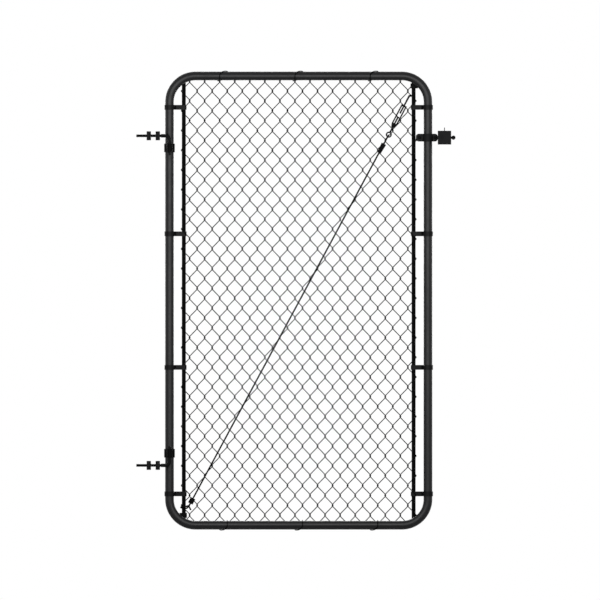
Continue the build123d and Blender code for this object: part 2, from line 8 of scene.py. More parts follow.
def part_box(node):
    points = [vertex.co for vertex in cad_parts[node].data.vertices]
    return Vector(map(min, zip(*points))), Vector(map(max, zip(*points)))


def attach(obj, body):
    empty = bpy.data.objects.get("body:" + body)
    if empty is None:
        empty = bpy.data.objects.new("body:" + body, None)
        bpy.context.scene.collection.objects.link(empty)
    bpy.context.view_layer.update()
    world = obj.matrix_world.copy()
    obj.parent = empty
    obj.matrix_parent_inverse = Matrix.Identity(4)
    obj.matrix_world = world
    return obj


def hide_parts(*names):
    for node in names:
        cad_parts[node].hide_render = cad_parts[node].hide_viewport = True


# Chain link walk gate, in metres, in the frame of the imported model: X runs from the hinge side to
# the latch side, Y from front to back and Z up. The frame tubes, bands, clamps and latch are the
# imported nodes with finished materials. The woven mesh, the wire ties, the cable and every threaded
# rod are modelled here in place of their plain nodes.

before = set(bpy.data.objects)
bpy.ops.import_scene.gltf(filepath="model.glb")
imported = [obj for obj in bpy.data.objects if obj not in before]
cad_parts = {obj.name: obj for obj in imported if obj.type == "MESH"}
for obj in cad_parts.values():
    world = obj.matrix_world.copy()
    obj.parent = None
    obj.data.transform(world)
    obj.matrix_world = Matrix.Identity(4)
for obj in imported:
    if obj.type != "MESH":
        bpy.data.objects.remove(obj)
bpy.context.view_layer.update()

# Picture: width of the view, and its centre on the gate
view_width = 2.3958
view_centre_x = 0.57655
view_centre_z = 0.66036
camera_distance = 6.0

# Floor, which fades into white between two distances from its middle
floor_drop = 0.06
floor_radius = 9.0
floor_sides = 96
floor_dark = (0.80, 0.80, 0.80)
floor_pale = (0.83, 0.83, 0.83)
floor_tone_scale = 3
floor_tone_detail = 4
floor_roughness = 0.7
fade_start = 0.8
fade_end = 2.2

# Lamps: one in front and one behind, and a smaller one on each side, all raised
lamp_rise = 1.0
main_lamp_distance = 4.0
main_lamp_width = 5.6
main_lamp_height = 2.5
main_lamp_power = 205
side_lamp_distance = 3.2
side_lamp_width = 1.4
side_lamp_height = 2.0
side_lamp_power = 12

# Surroundings: white where they are seen, and the grey with which they light the gate
white = (1, 1, 1, 1)
soft_grey = (0.15, 0.15, 0.155, 1)

# Coats: the scale and detail of each noise, and the values of it between which it takes effect
tone_scale = 14
tone_detail = 3
tone_start = 0.35
tone_end = 0.65
sheen_scale = 30
sheen_detail = 4
sheen_start = 0.3
sheen_end = 0.7
sheen_spread = 0.06
peel_detail = 3
peel_strength = 0.6

# Worn edges: how sharp an edge is where wear starts and where it is full, and how much paler it gets
edge_start = 0.53
edge_end = 0.62
edge_brightening = 3

# Mesh: its wire and spacing, how far and how roundly the wires bend, and their lean at the foot
wire_r = 0.00188
leg_depth = 0.0045
column_count = 31
row_height = 0.07876
half_rows = 45
bend_past_bar = 0.00095
mesh_top_below_frame = 0.0382
strip_count = 4
bend_reach = 0.0020
bend_rounding = 0.00287
depth_rounding = 0.0025
rail_lean = 0.0021
rail_lean_start = 0.035
wire_sides = 10

# Points of a wire round a plain crossing: rises from the crossing, besides the one halfway to the next
bend_rises = (0.0120, 0.0085, 0.0062, 0.0045, 0.0030, 0.0018, 0.0008)

# Points of an end wire round a tension bar: rises along its leg, on the bar's face, at its corner and
# on its edge, with the shares of the way across the face and of the bar's half thickness
bar_leg_rises = (0.0110, 0.0075, 0.0050)
bar_face_rise = 0.0036
bar_face_share = 0.4
bar_corner_rise = 0.0024
bar_edge_rise = 0.0014
bar_edge_share = 0.8
bar_wrap_gap = 0.0001

# Points of a closed hook at a wire's end: share of its half width, and rise from the crossing
knuckle_half_width = 0.0034
knuckle_points = (
    (-1.0, 0.0036),
    (-1.0, 0.0060),
    (-0.65, 0.0082),
    (0.0, 0.0092),
    (0.65, 0.0082),
    (1.0, 0.0060),
    (1.0, 0.0034),
)

# Bands, and the way of an end wire's leg over a band near it: it moves over to the band's face along
# the start of the leg, and back to its own depth along the run beyond the band
band_half_height = 0.009525
band_middle_spacing = 0.5333
band_face_depth = 0.00898
band_nose = 0.0033
detour_gap = 0.0003
detour_step = 0.0012
detour_run = 0.0060
detour_start = 0.0035
detour_catch = 0.0020

# Tie wires
tie_r = 0.00165
tie_gap = 0.0005
tie_lean = 0.024
tie_run_back = 0.008
tie_turn_back = radians(25)
tie_wrap_steps = 40
first_tie_column = 5
tie_columns_apart = 10
tie_sides = 12
tie_step = 0.0015
tie_smoothing = 6
top_tie_hook = ((0.0085, 0.0047), (-0.0095, 0.0012))
bottom_tie_hook = ((0.0120, -0.0060), (0.0, -0.0120))
second_tie_hook = ((0.0090, 0.0092), (-0.0080, 0.0052))

# Truss cable
truss_from_mesh = 0.015
cable_r = 0.0033
cable_gap = 0.0003
cable_strands = 6
cable_lay = 0.041
strand_depth = 0.00058
cable_sides = 36
cable_step = 0.0015
cable_pitch = 0.0070
cable_foot_x = 0.0829
cable_foot_z = 0.1042
cable_neck = 0.0090
cable_bar_drop = 0.0112
cable_loop_drop = 0.0083
cable_turn = 0.0060
cable_bend = 0.0150
loop_throat = 0.0150
eye_seat = 0.00055
eye_loop_share = 0.97
ferrule_start = 0.0412
tail_in_ferrule = 0.0360
clip_length = 0.0240
tail_neck = 0.0120
tail_length = 0.0175
tail_lean = radians(27)

# Turnbuckle rods, along the axis from the eye
rod_r = 0.00375
rod_pitch = 0.00125
rod_chamfer = 0.0008
eye_x_inset = 0.1562
eye_z_inset = 0.2518
eye_rim = 0.009375
eye_rim_r = 0.002875
eye_steps = 64
eye_sides = 20
eye_neck = 0.0170
eye_head_start = 0.0753
eye_head_end = 0.0813
eye_head_r = 0.0050
hook_from_bar = 0.0172
hook_z_inset = 0.0970
hook_thread_start = 0.0955
hook_thread_end = 0.1500
hook_bend = 0.0060
hook_seat = 0.0003

# Hinge hooks
hook_thread_end_x = 0.0214
hook_shank_r = 0.0070
hook_thread_r = 0.0060
hook_pitch = 0.00175
hook_chamfer = 0.0015
pintle_r = 0.00625
shank_bend_radius = 0.0160
shank_bend_run = 0.0200
shank_bevel = 0.0004
bend_steps = 20

# Screw threads; the profile gives places along the pitch and into the depth, each as a share
thread_depth_share = 0.61
thread_profile = ((0.0, 0.0), (0.125, 0.0), (0.4375, 1.0), (0.6875, 1.0))
rod_sides = 32

# Shapes: steps of a plain arc, the sine of 45 degrees, and what counts as sharp or as one point
arc_steps = 8
diagonal = 0.7071
sharp_angle = radians(35)
merge_distance = 0.000001


def node_centre(name):
    """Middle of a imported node."""
    low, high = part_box(name)
    return (low + high) / 2


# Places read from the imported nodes
hinge_bar_low, hinge_bar_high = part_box("hinge_tension_bar")
latch_bar_low, latch_bar_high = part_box("latch_tension_bar")
top_rail_low, top_rail_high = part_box("top_rail")
bottom_rail_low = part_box("bottom_rail")[0]
mesh_y = (hinge_bar_low.y + hinge_bar_high.y) / 2
bar_half_thickness = (hinge_bar_high.y - hinge_bar_low.y) / 2
mesh_left = hinge_bar_low.x + bend_past_bar
bar_inset = hinge_bar_high.x - mesh_left
mesh_right = latch_bar_high.x - bend_past_bar
column_width = (mesh_right - mesh_left) / column_count
mesh_top = top_rail_high.z - mesh_top_below_frame
mesh_foot = mesh_top - half_rows * row_height / 2
rail_y = node_centre("top_rail").y
tube_r = (top_rail_high.z - top_rail_low.z) / 2
top_rail_z = node_centre("top_rail").z
bottom_rail_z = node_centre("bottom_rail").z
hinge_x = node_centre("hinge_stile").x
latch_x = node_centre("latch_stile").x
latch_bar_x = (latch_bar_low.x + latch_bar_high.x) / 2
truss_y = mesh_y - truss_from_mesh
eye_point = Vector((latch_x - eye_x_inset, truss_y, top_rail_high.z - eye_z_inset))
hook_point = Vector((latch_bar_x - hook_from_bar, truss_y, top_rail_high.z - hook_z_inset))
rod_axis = (hook_point - eye_point).normalized()
cable_foot = Vector((hinge_x + cable_foot_x, truss_y, bottom_rail_low.z + cable_foot_z))
cable_axis = (cable_foot - eye_point).normalized()
cable_length = (cable_foot - eye_point).length

# How far above or below its bend an end wire's leg passes the tension bar's edge towards the mesh
leg_rise = sqrt((bar_inset + bend_reach + bend_rounding) ** 2 - bend_rounding ** 2)
wire_clearance = wire_r + detour_gap


def swept_shape(path, sides, reach):
    """Points and faces of a closed rod along a path; reach gives its radius at a point and an angle."""
    points = []
    across = first_across(path)
    last = len(path) - 1
    for index, place in enumerate(path):
        along = (path[min(index + 1, last)] - path[max(index - 1, 0)]).normalized()
        across = (across - along * across.dot(along)).normalized()
        other = along.cross(across)
        for side in range(sides):
            angle = tau * side / sides
            points.append(place + (across * cos(angle) + other * sin(angle)) * reach(index, angle))
    faces = ring_faces(len(path), sides)
    faces.append(list(range(sides))[::-1])
    faces.append([last * sides + side for side in range(sides)])
    return points, faces


def tube_shape(path, radius, sides):
    """A round rod along a path."""
    return swept_shape(path, sides, lambda index, angle: radius)


def stepped_shape(steps, sides):
    """A round rod whose radius changes; each step is a place on its axis and the radius there."""
    places = [place for place, radius in steps]
    return swept_shape(places, sides, lambda index, angle: steps[index][1])


def first_across(path):
    """A direction square to the start of a path."""
    along = (path[1] - path[0]).normalized()
    helper = Vector((0, 0, 1)) if abs(along.z) < diagonal else Vector((1, 0, 0))
    return along.cross(helper).normalized()


def ring_faces(rings, sides, closed=False):
    """Faces between neighbouring rings of points; closed joins the last ring to the first."""
    faces = []
    for ring in range(rings if closed else rings - 1):
        low = ring * sides
        high = (ring + 1) % rings * sides
        for side in range(sides):
            after = (side + 1) % sides
            faces.append([low + side, low + after, high + after, high + side])
    return faces


def eye_shape(centre, radius, rod, steps, sides):
    """A round ring of rod that stands in the gate's plane."""
    points = []
    for step in range(steps):
        turn = tau * step / steps
        outwards = Vector((cos(turn), 0, sin(turn)))
        for side in range(sides):
            angle = tau * side / sides
            depth = Vector((0, rod * sin(angle), 0))
            points.append(centre + outwards * (radius + rod * cos(angle)) + depth)
    return points, ring_faces(steps, sides, closed=True)


def thread_shape(start, along, length, radius, pitch, chamfer):
    """A closed rod with a screw thread, chamfered at both ends.

    Each side of the rod has its own column of points, a little further on than the column before,
    so that the rows climb by one pitch in a turn. Points beyond the ends are brought back to them.
    """
    across = first_across([start, start + along])
    other = along.cross(across)
    depth = thread_depth_share * pitch
    turns = ceil(length / pitch) + 2
    points = []
    for side in range(rod_sides):
        angle = tau * side / rod_sides
        outwards = across * cos(angle) + other * sin(angle)
        for turn in range(turns):
            for share, sunk in thread_profile:
                run = (turn - 1 + share + side / rod_sides) * pitch
                run = min(length, max(0, run))
                end_limit = radius - chamfer + min(run, length - run)
                points.append(start + along * run + outwards * min(radius - sunk * depth, end_limit))
    return points, thread_faces(turns * len(thread_profile))


def thread_faces(rows):
    """Faces of a thread's columns of points, and its two flat ends."""
    faces = []
    for side in range(rod_sides):
        seam = side + 1 == rod_sides
        shift = len(thread_profile) if seam else 0
        low = side * rows
        high = shift if seam else low + rows
        for row in range(rows - 1 - shift):
            faces.append([low + row, high + row, high + row + 1, low + row + 1])
    faces.append([side * rows for side in range(rod_sides)][::-1])
    faces.append([side * rows + rows - 1 for side in range(rod_sides)])
    return faces


def rounded_path(corners, radii, steps=arc_steps):
    """A path through corners, each one rounded by an arc of its radius."""
    path = [corners[0]]
    for before, corner, after, radius in zip(corners, corners[1:], corners[2:], radii):
        into = (corner - before).normalized()
        out = (after - corner).normalized()
        turn = into.angle(out)
        axis = into.cross(out).normalized()
        start = corner - into * radius * sin(turn / 2) / cos(turn / 2)
        centre = start + axis.cross(into) * radius
        for step in range(steps + 1):
            spin = Quaternion(axis, turn * step / steps)
            path.append(centre + spin @ (start - centre))
    path.append(corners[-1])
    return path


def evenly(path, step):
    """The same path with points about one step apart."""
    result = [path[0]]
    for start, end in zip(path, path[1:]):
        count = max(1, ceil((end - start).length / step))
        for index in range(1, count + 1):
            result.append(start.lerp(end, index / count))
    return result


def smoothed(path, passes):
    """The same path with its corners eased by averaging neighbours."""
    for _ in range(passes):
        inner = [
            (before + 2 * place + after) / 4
            for before, place, after in zip(path, path[1:], path[2:])
        ]
        path = [path[0], *inner, path[-1]]
    return path


def build(name, body, material, shapes):
    """One piece from several shapes, with its material, on its body."""
    points = []
    faces = []
    for shape_points, shape_faces in shapes:
        first = len(points)
        points += shape_points
        faces += [[first + index for index in face] for face in shape_faces]
    mesh = bpy.data.meshes.new(name)
    mesh.from_pydata(points, [], faces)
    merge_points(mesh)
    mesh.shade_smooth()
    mesh.set_sharp_from_angle(angle=sharp_angle)
    mesh.materials.append(material)
    piece = bpy.data.objects.new(name, mesh)
    bpy.context.scene.collection.objects.link(piece)
    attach(piece, body)
    return piece


def merge_points(mesh):
    """Join points that lie in the same place."""
    net = bmesh.new()
    net.from_mesh(mesh)
    bmesh.ops.remove_doubles(net, verts=net.verts, dist=merge_distance)
    net.to_mesh(mesh)
    net.free()


def principled(name):
    """A new node material and its main shader."""
    material = bpy.data.materials.new(name)
    material.use_nodes = True
    return material, material.node_tree.nodes["Principled BSDF"]


def noise(tree, scale, detail):
    """A noise texture in the object's own coordinates."""
    place = tree.nodes.new("ShaderNodeTexCoord")
    texture = tree.nodes.new("ShaderNodeTexNoise")
    texture.inputs["Scale"].default_value = scale
    texture.inputs["Detail"].default_value = detail
    tree.links.new(place.outputs["Object"], texture.inputs["Vector"])
    return texture.outputs["Fac"]


def between(tree, factor, low, high):
    """A number that runs from low to high with the factor."""
    ramp = tree.nodes.new("ShaderNodeMapRange")
    ramp.inputs["From Min"].default_value = sheen_start
    ramp.inputs["From Max"].default_value = sheen_end
    ramp.inputs["To Min"].default_value = low
    ramp.inputs["To Max"].default_value = high
    tree.links.new(factor, ramp.inputs["Value"])
    return ramp.outputs["Result"]


def two_tones(tree, factor, dark, light):
    """A colour that runs from dark to light with the factor."""
    ramp = tree.nodes.new("ShaderNodeValToRGB")
    ramp.color_ramp.elements[0].position = tone_start
    ramp.color_ramp.elements[0].color = (*dark, 1)
    ramp.color_ramp.elements[1].position = tone_end
    ramp.color_ramp.elements[1].color = (*light, 1)
    tree.links.new(factor, ramp.inputs["Fac"])
    return ramp.outputs["Color"]


def coating(name, dark, light, roughness, specular, grain, bump, worn=0.0):
    """Black paint or polymer coat: two close tones, fine orange peel and uneven sheen.

    The grain is the size of the coat's texture and the bump its depth, both in metres.
    """
    material, shader = principled(name)
    tree = material.node_tree
    colour = two_tones(tree, noise(tree, tone_scale, tone_detail), dark, light)
    if worn:
        colour = worn_edges(tree, colour, light, worn)
    tree.links.new(colour, shader.inputs["Base Color"])
    uneven = noise(tree, sheen_scale, sheen_detail)
    sheen = between(tree, uneven, roughness - sheen_spread, roughness + sheen_spread)
    tree.links.new(sheen, shader.inputs["Roughness"])
    shader.inputs["Specular IOR Level"].default_value = specular
    peel = tree.nodes.new("ShaderNodeBump")
    peel.inputs["Strength"].default_value = peel_strength
    peel.inputs["Distance"].default_value = bump
    tree.links.new(noise(tree, 1 / grain, peel_detail), peel.inputs["Height"])
    tree.links.new(peel.outputs["Normal"], shader.inputs["Normal"])
    return material


def worn_edges(tree, colour, light, worn):
    """Slightly paler metal where handling has rubbed the sharpest edges."""
    geometry = tree.nodes.new("ShaderNodeNewGeometry")
    edge = tree.nodes.new("ShaderNodeMapRange")
    edge.inputs["From Min"].default_value = edge_start
    edge.inputs["From Max"].default_value = edge_end
    edge.inputs["To Max"].default_value = worn
    tree.links.new(geometry.outputs["Pointiness"], edge.inputs["Value"])
    blend = tree.nodes.new("ShaderNodeMix")
    blend.data_type = "RGBA"
    blend.inputs["B"].default_value = (*[min(1, edge_brightening * value) for value in light], 1)
    tree.links.new(edge.outputs["Result"], blend.inputs["Factor"])
    tree.links.new(colour, blend.inputs["A"])
    return blend.outputs["Result"]


def repaint(material, *names):
    """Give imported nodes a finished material."""
    for name in names:
        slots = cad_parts[name].data.materials
        slots.clear()
        slots.append(material)


frame_paint = coating(
    "frame_paint",
    dark=(0.0024, 0.0024, 0.0028),
    light=(0.0034, 0.0034, 0.0039),
    roughness=0.38,
    specular=0.21,
    grain=0.0009,
    bump=0.00004,
)
band_paint = coating(
    "band_paint",
    dark=(0.0014, 0.0014, 0.0016),
    light=(0.0026, 0.0026, 0.0028),
    roughness=0.42,
    specular=0.07,
    grain=0.0010,
    bump=0.00004,
    worn=0.05,
)
bar_paint = coating(
    "bar_paint",
    dark=(0.0006, 0.0006, 0.0006),
    light=(0.0012, 0.0012, 0.0012),
    roughness=0.6,
    specular=0.02,
    grain=0.0011,
    bump=0.00004,
)
wire_coat = coating(
    "wire_coat",
    dark=(0.0006, 0.0006, 0.0006),
    light=(0.0012, 0.0012, 0.0012),
    roughness=0.6,
    specular=0.02,
    grain=0.0014,
    bump=0.00003,
)
fitting_paint = coating(
    "fitting_paint",
    dark=(0.0014, 0.0014, 0.0015),
    light=(0.0030, 0.0030, 0.0032),
    roughness=0.5,
    specular=0.05,
    grain=0.0012,
    bump=0.00006,
    worn=0.3,
)
hook_paint = coating(
    "hook_paint",
    dark=(0.0014, 0.0014, 0.0015),
    light=(0.0028, 0.0028, 0.0030),
    roughness=0.5,
    specular=0.05,
    grain=0.0010,
    bump=0.00004,
    worn=0.4,
)
bolt_paint = coating(
    "bolt_paint",
    dark=(0.0006, 0.0006, 0.0006),
    light=(0.0014, 0.0014, 0.0014),
    roughness=0.5,
    specular=0.03,
    grain=0.0010,
    bump=0.00003,
)
truss_paint = coating(
    "truss_paint",
    dark=(0.0008, 0.0008, 0.0008),
    light=(0.0016, 0.0016, 0.0016),
    roughness=0.55,
    specular=0.03,
    grain=0.0010,
    bump=0.00003,
    worn=0.2,
)


def column_x(column):
    """X of a column of mesh crossings."""
    return mesh_left + column * column_width


def soft_step(share):
    """A soft rise from 0 to 1."""
    share = min(1, max(0, share))
    return share * share * (3 - 2 * share)


def lean(z):
    """How far the mesh stands off behind the bottom rail at a height."""
    return rail_lean * soft_step((mesh_foot + rail_lean_start - z) / rail_lean_start)


def leg_offset(rise):
    """X from a crossing's column to the wire, at a height above or below the crossing."""
    return bend_reach + bend_rounding - sqrt(rise * rise + bend_rounding * bend_rounding)


def leg_y(rise, side):
    """Depth of the wire at a height from a crossing: it passes from one face of the mesh to the other."""
    return -side * leg_depth * rise / sqrt(rise * rise + depth_rounding * depth_rounding)


def plain_bend(column, z, side):
    """The wire round one crossing, from above to below; side is 1 for a bend on the right."""
    rises = [row_height / 4, *bend_rises]
    steps = rises + [0.0] + [-rise for rise in rises[::-1]]
    return [
        Vector((column_x(column) + side * leg_offset(rise), leg_y(rise, side), z + rise))
        for rise in steps
    ]


def bar_bend(column, z, side):
    """The end wire round the outer edge of a tension bar, squarer than a plain bend."""
    reach = bend_past_bar + bar_wrap_gap + wire_r
    flank = bar_half_thickness + bar_wrap_gap
    corner_x = bend_past_bar + (wire_r + bar_wrap_gap) * diagonal
    corner_y = flank + wire_r * diagonal
    leg = [(leg_offset(rise), leg_depth, rise) for rise in (row_height / 4, *bar_leg_rises)]
    upper = leg + [
        (bend_past_bar * bar_face_share, leg_depth, bar_face_rise),
        (corner_x, corner_y, bar_corner_rise),
        (reach, flank * bar_edge_share, bar_edge_rise),
    ]
    steps = upper + [(reach, 0.0, 0.0)] + [(x, -y, -rise) for x, y, rise in upper[::-1]]
    return [Vector((column_x(column) + side * x, -side * y, z + rise)) for x, y, rise in steps]


def knuckle(column, z, side, up):
    """The closed hook at a wire's end, beyond its last crossing, in order away from the mesh."""
    x = column_x(column) + side * bend_reach
    return [
        Vector((x, side * up * share * knuckle_half_width, z + up * rise))
        for share, rise in knuckle_points
    ]


def band_heights():
    """Heights of the middles of the bands on one side."""
    low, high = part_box("hinge_side_bands")
    middle = (low.z + high.z) / 2
    return [
        low.z + band_half_height,
        middle - band_middle_spacing / 2,
        middle + band_middle_spacing / 2,
        high.z - band_half_height,
    ]


def detour_share(place, edge, inward, leg_z, band_z):
    """How far a place on an end wire is led over to a band's face: 1 beside its nose, 0 away from it."""
    past_nose = max(0, (place.x - edge) * inward - band_nose - wire_clearance)
    off_band = max(0, abs(place.z - band_z) - band_half_height - wire_clearance)
    off_bend = leg_rise - abs(place.z - leg_z)
    share = soft_step(1 - past_nose / detour_run) * soft_step(1 - off_band / detour_run)
    return share * soft_step(off_bend / detour_start)


def past_bands(path, edge, inward):
    """An end wire, led over the face of each band whose rounded nose one of its legs would meet.

    The edge is the X of the tension bar's edge towards the mesh. A leg goes from its bend round the
    bar, over that edge, into the mesh. Inward is 1 where the mesh lies at +X of the bar.
    """
    path = evenly(path, detour_step)
    caught = band_half_height + wire_clearance + detour_catch
    for start, end in zip(path, path[1:]):
        if (start.x - edge) * (end.x - edge) > 0:
            continue
        leg_z = start.z
        depth = (band_face_depth + wire_clearance) * (1 if start.y > 0 else -1)
        for band_z in [height for height in band_heights() if abs(leg_z - height) <= caught]:
            for place in path:
                place.y += (depth - place.y) * detour_share(place, edge, inward, leg_z, band_z)
    return path


def mesh_wire(number):
    """Centre line of one woven wire, from its top end to its foot."""
    path = []
    for row in range(half_rows + 1):
        z = mesh_top - row * row_height / 2
        side = 1 if (number + row) % 2 == 0 else -1
        column = number + 1 if side > 0 else number
        at_bar = column in (0, column_count)
        bend = bar_bend(column, z, side) if at_bar else plain_bend(column, z, side)
        if row == 0:
            bend = knuckle(column, z, side, 1)[::-1] + bend[len(bend) // 2:]
        elif row == half_rows:
            bend = bend[: len(bend) // 2 + 1]
            if not at_bar:
                bend += knuckle(column, z, side, -1)
        path += bend[1:] if path else bend
    if number == 0:
        path = past_bands(path, hinge_bar_high.x, 1)
    elif number == column_count - 1:
        path = past_bands(path, latch_bar_low.x, -1)
    return [place + Vector((0, mesh_y + lean(place.z), 0)) for place in path]


def mesh_wires():
    """All the woven wires, in place of the flat strips of mesh."""
    strips = [f"mesh_strip_{number}" for number in range(1, strip_count + 1)]
    for number in range(column_count):
        shape = tube_shape(mesh_wire(number), wire_r, wire_sides)
        wire = build(f"mesh_wire_{number + 1:02d}", "leaf", wire_coat, [shape])
        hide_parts(*strips)


def tie_path(x, rail_z, crossing_z, turn, first_hook):
    """One tie wire round a rail, from a hook behind the mesh round the rail to a second hook.

    It comes forward under the rail, climbs its front upright and leans over the top. The turn is 1 at
    the top rail, and -1 at the bottom rail, where the same wire is turned upside down.
    """
    seat = tube_r + tie_r + tie_gap
    back = mesh_y + lean(crossing_z) - rail_y + leg_depth + wire_r + tie_r + tie_gap
    height = turn * (crossing_z - rail_z)
    first = [Vector((across, back, height + up)) for across, up in first_hook]
    second = [Vector((across, back, height + up)) for across, up in second_tie_hook]
    start = acos(seat / hypot(back, first[-1].z)) - atan2(back, -first[-1].z)
    end = tau - atan2(back, -second[0].z) - acos(seat / hypot(back, second[0].z))
    wrap = []
    for step in range(tie_wrap_steps + 1):
        angle = start + (end - start) * step / tie_wrap_steps
        climb = min(1, max(0, 2 * angle / pi - 1))
        over = min(1, max(0, (angle - pi) / tie_turn_back))
        aside = tie_lean * climb * climb + tie_run_back * over
        wrap.append(Vector((aside, -seat * sin(angle), -seat * cos(angle))))
    path = smoothed(evenly(first + wrap + second, tie_step), tie_smoothing)
    return [
        Vector((x + turn * place.x, rail_y + place.y, rail_z + turn * place.z))
        for place in path
    ]


def rail_ties(name, rail_z, crossing_z, turn, first_hook, shift):
    """The wire ties of one rail, in place of the plain ones; the shift is in columns of the mesh."""
    shapes = []
    for column in range(first_tie_column, column_count, tie_columns_apart):
        path = tie_path(column_x(column + shift), rail_z, crossing_z, turn, first_hook)
        shapes.append(tube_shape(path, tie_r, tie_sides))
    ties = build(f"{name}_wrapped", "leaf", wire_coat, shapes)
    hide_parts(name)


def tie_wires():
    """The wire ties of both rails."""
    rail_ties("top_tie_wires", top_rail_z, mesh_top, 1, top_tie_hook, 0)
    rail_ties("bottom_tie_wires", bottom_rail_z, mesh_foot, -1, bottom_tie_hook, half_rows % 2)


def along_cable(distance, depth=0.0):
    """A place on the cable's line, from the eye, with a shift towards the back."""
    return eye_point + cable_axis * distance + Vector((0, depth, 0))


def cable_path():
    """The cable: from the ferrule round the eye, down to the clip and round the hinge-side bar."""
    strand = cable_pitch / 2
    loop = eye_rim_r + cable_r + eye_seat
    reach = cable_r + cable_gap
    front = mesh_y - leg_depth - wire_r - reach
    back = mesh_y + leg_depth + wire_r + reach
    outer = hinge_bar_low.x - reach
    inner = hinge_bar_high.x + reach
    bar_z = cable_foot.z - cable_bar_drop
    step = cable_loop_drop / 3
    corners = [
        along_cable(ferrule_start + tail_in_ferrule, strand),
        along_cable(ferrule_start + cable_r, strand),
        along_cable(ferrule_start - loop_throat, loop),
        along_cable(eye_rim - loop, loop),
        along_cable(eye_rim - loop, -loop),
        along_cable(ferrule_start - loop_throat, -loop),
        along_cable(ferrule_start + cable_r, -strand),
        along_cable(cable_length + cable_neck, -strand),
        Vector((inner, front, bar_z)),
        Vector((outer, front, bar_z - step)),
        Vector((outer, back, bar_z - 2 * step)),
        Vector((inner, back, bar_z - 3 * step)),
        along_cable(cable_length + cable_neck, strand),
        along_cable(cable_length - clip_length / 2, strand),
    ]
    loop_corner = loop * eye_loop_share
    radii = [cable_bend, cable_bend, loop_corner, loop_corner, cable_bend, cable_bend]
    radii += [cable_turn] * (len(corners) - 2 - len(radii))
    return rounded_path(corners, radii)


def cable_tail_path():
    """The cable's spare end below the lower clip."""
    depth = -cable_pitch * 3 / 2
    neck = along_cable(cable_length + tail_neck, depth)
    end = neck + Vector((sin(tail_lean), 0, -cos(tail_lean))) * tail_length
    start = along_cable(cable_length - clip_length / 2, depth)
    return rounded_path([start, neck, end], [cable_turn])


def rope_shape(path):
    """A rope of twisted strands along a path."""
    path = evenly(path, cable_step)
    travelled = [0.0]
    for start, end in zip(path, path[1:]):
        travelled.append(travelled[-1] + (end - start).length)

    def reach(index, angle):
        twist = angle - tau * travelled[index] / cable_lay
        return cable_r - strand_depth * (1 - abs(cos(cable_strands / 2 * twist)))

    return swept_shape(path, cable_sides, reach)


def truss_cable():
    """The stranded cable and its spare end, in place of the plain one."""
    shapes = [rope_shape(cable_path()), rope_shape(cable_tail_path())]
    rope = build("truss_rope", "leaf", truss_paint, shapes)
    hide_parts("truss_cable")


def on_rod(distance):
    """A place on the turnbuckle's axis, from the eye."""
    return eye_point + rod_axis * distance


def eye_rod():
    """The threaded eye of the turnbuckle, in place of the plain one."""
    thread_length = eye_head_start - eye_neck
    head = [
        (on_rod(eye_head_start), eye_head_r - rod_chamfer),
        (on_rod(eye_head_start + rod_chamfer), eye_head_r),
        (on_rod(eye_head_end - rod_chamfer), eye_head_r),
        (on_rod(eye_head_end), eye_head_r - rod_chamfer),
    ]
    shapes = [
        eye_shape(eye_point, eye_rim, eye_rim_r, eye_steps, eye_sides),
        tube_shape([on_rod(eye_rim), on_rod(eye_neck)], rod_r, rod_sides),
        thread_shape(on_rod(eye_neck), rod_axis, thread_length, rod_r, rod_pitch, rod_chamfer),
        stepped_shape(head, rod_sides),
    ]
    eye = build("turnbuckle_eye_rod", "leaf", truss_paint, shapes)
    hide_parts("turnbuckle_eye")


def hook_rod():
    """The threaded rod that hooks behind the latch-side bar, in place of the plain one."""
    behind = mesh_y + bar_half_thickness + rod_r + hook_seat
    corners = [
        on_rod(hook_thread_end),
        hook_point,
        Vector((hook_point.x, behind, hook_point.z)),
        Vector((latch_bar_high.x, behind, hook_point.z)),
    ]
    start = on_rod(hook_thread_start)
    thread_length = hook_thread_end - hook_thread_start
    shapes = [
        thread_shape(start, rod_axis, thread_length, rod_r, rod_pitch, rod_chamfer),
        tube_shape(rounded_path(corners, [hook_bend, hook_bend]), rod_r, rod_sides),
    ]
    hook = build("turnbuckle_hook_rod", "leaf", truss_paint, shapes)
    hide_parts("turnbuckle_hook")


def shank_steps(axis_z, tip_z, up):
    """Places and radii along a hinge hook's plain shank, bend and pintle, up to its tip."""
    start = Vector((hook_thread_end_x, 0, axis_z))
    corner = Vector((hinge_x, 0, axis_z))
    neck = corner + up * shank_bend_run
    tip = Vector((hinge_x, 0, tip_z))
    bend_start = start + Vector((shank_bevel, 0, 0))
    bend_end = neck - up * (hook_shank_r - pintle_r)
    bend = rounded_path([bend_start, corner, bend_end], [shank_bend_radius], bend_steps)
    return [
        (start, hook_shank_r - shank_bevel),
        *[(place, hook_shank_r) for place in bend],
        (neck, pintle_r),
        (tip - up * hook_chamfer, pintle_r),
        (tip, pintle_r - hook_chamfer),
    ]


def hinge_hook(end, turn):
    """One threaded hinge hook with its bend and pintle; the turn is 1 where the pintle points up."""
    plain = f"{end}_hook_bolt"
    low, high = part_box(plain)
    tip_z = high.z if turn > 0 else low.z
    axis_z = low.z + hook_shank_r if turn > 0 else high.z - hook_shank_r
    start = Vector((low.x, 0, axis_z))
    along = Vector((1, 0, 0))
    length = hook_thread_end_x - low.x
    shapes = [
        thread_shape(start, along, length, hook_thread_r, hook_pitch, hook_chamfer),
        stepped_shape(shank_steps(axis_z, tip_z, Vector((0, 0, turn))), rod_sides),
    ]
    hook = build(f"{end}_hinge_hook", "hinge_hooks", hook_paint, shapes)
    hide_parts(plain)


def camera():
    """A level view of the gate's front, as in the picture."""
    data = bpy.data.cameras.new("camera")
    data.type = "ORTHO"
    data.ortho_scale = view_width
    viewer = bpy.data.objects.new("camera", data)
    viewer.location = (view_centre_x, -camera_distance, view_centre_z)
    viewer.rotation_euler = (pi / 2, 0, 0)
    bpy.context.scene.collection.objects.link(viewer)
    bpy.context.scene.camera = viewer


